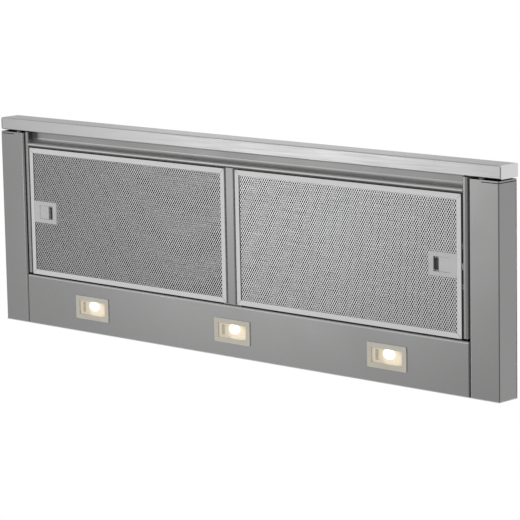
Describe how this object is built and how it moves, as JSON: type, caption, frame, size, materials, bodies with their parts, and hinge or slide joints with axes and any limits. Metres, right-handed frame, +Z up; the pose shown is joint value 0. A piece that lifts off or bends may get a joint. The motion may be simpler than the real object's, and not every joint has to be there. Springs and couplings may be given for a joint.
{
  "type": "telescopic range hood",
  "caption": "Flat built-in range hood with a pull-out filter drawer, hinged metal grease filters, a rear lamp panel and a blower housing with a round duct collar.",
  "frame": {"origin": "middle of the lower edge of the back face, level with the underside", "axes": "+X to the right seen from the front, +Y into the wall, +Z up"},
  "size_m": [0.898, 0.29, 0.2442],
  "materials": {
    "silver_paint": "satin metallic paint",
    "bar_metal": "fine satin",
    "zinc_sheet": "galvanised",
    "runner_steel": "zinc plated",
    "filter_metal": "satin",
    "pale_plastic": "fine texture",
    "bezel_plastic": "satin",
    "lamp_glass": "clear",
    "reflector_metal": "bright",
    "lamp_ceramic": "unglazed",
    "bulb_glass": "clear, lit",
    "dark_plastic": "fine texture",
    "rubber_pad": "matte",
    "motor_metal": "satin",
    "screw_steel": "zinc plated"
  },
  "bodies": {
    "carcass": {"runner_outers": "runner_steel", "column_caps": "dark_plastic", "buffers": "rubber_pad", "lamp_panel": "silver_paint", "rear_rail": "zinc_sheet", "deck_plate": "zinc_sheet", "inner_filter_frame": "filter_metal", "inner_filter_pack": "filter_metal", "inner_filter_arms": "zinc_sheet", "lamp_bezels": "bezel_plastic", "lamp_glasses": "lamp_glass", "lamp_reflectors": "reflector_metal", "lamp_sockets": "lamp_ceramic", "lamp_bulbs": "bulb_glass", "housing_front": "zinc_sheet", "housing_back": "zinc_sheet", "housing_top": "zinc_sheet", "housing_screws": "screw_steel", "scroll_wrap": "zinc_sheet", "scroll_sides": "zinc_sheet", "fan_motor": "motor_metal", "motor_bracket": "zinc_sheet", "outlet_collar": "dark_plastic", "flap_pin": "screw_steel", "lamp_transformer": "motor_metal", "motor_capacitor": "dark_plastic", "terminal_cover": "dark_plastic", "cable_gland": "dark_plastic", "drawer_switch": "dark_plastic", "column_right": "silver_paint", "column_left": "silver_paint", "housing_right": "zinc_sheet", "housing_left": "zinc_sheet"},
    "drawer": {"front_bar": "bar_metal", "bar_caps": "bar_metal", "grip_channel": "silver_paint", "drawer_side_left": "silver_paint", "drawer_side_right": "silver_paint", "centre_bar": "silver_paint", "drawer_rear_rail": "zinc_sheet", "drawer_top": "silver_paint", "switch_plate": "pale_plastic", "runner_inners": "runner_steel"},
    "middle_left": {"runner_middle_left": "runner_steel"},
    "middle_right": {"runner_middle_right": "runner_steel"},
    "filter_left": {"filter_frame_left": "filter_metal", "filter_pack_left": "filter_metal", "latch_housing_left": "pale_plastic"},
    "filter_right": {"filter_frame_right": "filter_metal", "filter_pack_right": "filter_metal", "latch_housing_right": "pale_plastic"},
    "catch_left": {"latch_slider_left": "pale_plastic"},
    "catch_right": {"latch_slider_right": "pale_plastic"},
    "fan": {"impeller": "dark_plastic", "fan_shaft": "screw_steel"},
    "flap_front": {"flap_front": "dark_plastic"},
    "flap_rear": {"flap_rear": "dark_plastic"},
    "fan_knob": {"fan_knob": "dark_plastic"},
    "light_knob": {"light_knob": "dark_plastic"},
    "plunger": {"switch_plunger": "dark_plastic"}
  },
  "joints": [
    {"name": "drawer_slide", "type": "slide", "parent": "carcass", "child": "drawer", "axis": [0, -1, 0], "range_m": [0, 0.165]},
    {"name": "middle_left_slide", "type": "slide", "parent": "carcass", "child": "middle_left", "axis": [0, -1, 0], "range_m": [0, 0.0825]},
    {"name": "middle_right_slide", "type": "slide", "parent": "carcass", "child": "middle_right", "axis": [0, -1, 0], "range_m": [0, 0.0825]},
    {"name": "filter_left_swing", "type": "hinge", "parent": "drawer", "child": "filter_left", "pos_m": [-0.01225, -0.1615, 0.0035], "axis": [0, -1, 0], "range_deg": [0, 80]},
    {"name": "filter_right_swing", "type": "hinge", "parent": "drawer", "child": "filter_right", "pos_m": [0.01225, -0.1615, 0.0035], "axis": [0, 1, 0], "range_deg": [0, 80]},
    {"name": "catch_left_slide", "type": "slide", "parent": "filter_left", "child": "catch_left", "axis": [1, 0, 0], "range_m": [0, 0.0082], "stiffness_N_per_m": 400, "springref_m": -0.002},
    {"name": "catch_right_slide", "type": "slide", "parent": "filter_right", "child": "catch_right", "axis": [-1, 0, 0], "range_m": [0, 0.0082], "stiffness_N_per_m": 400, "springref_m": -0.002},
    {"name": "fan_spin", "type": "hinge", "parent": "carcass", "child": "fan", "pos_m": [0, -0.152, 0.1202], "axis": [1, 0, 0], "continuous": true},
    {"name": "flap_front_swing", "type": "hinge", "parent": "carcass", "child": "flap_front", "pos_m": [0, -0.125, 0.2092], "axis": [-1, 0, 0], "range_deg": [0, 75]},
    {"name": "flap_rear_swing", "type": "hinge", "parent": "carcass", "child": "flap_rear", "pos_m": [0, -0.125, 0.2092], "axis": [1, 0, 0], "range_deg": [0, 75]},
    {"name": "fan_knob_slide", "type": "slide", "parent": "drawer", "child": "fan_knob", "axis": [1, 0, 0], "range_m": [0, 0.018]},
    {"name": "light_knob_slide", "type": "slide", "parent": "drawer", "child": "light_knob", "axis": [1, 0, 0], "range_m": [0, 0.006]},
    {"name": "plunger_press", "type": "slide", "parent": "carcass", "child": "plunger", "axis": [0, 1, 0], "range_m": [0, 0.0025], "stiffness_N_per_m": 300}
  ],
  "couplings": [
    {"joint": "middle_left_slide", "follows": "drawer_slide", "ratio": 0.5},
    {"joint": "middle_right_slide", "follows": "drawer_slide", "ratio": 0.5}
  ]
}
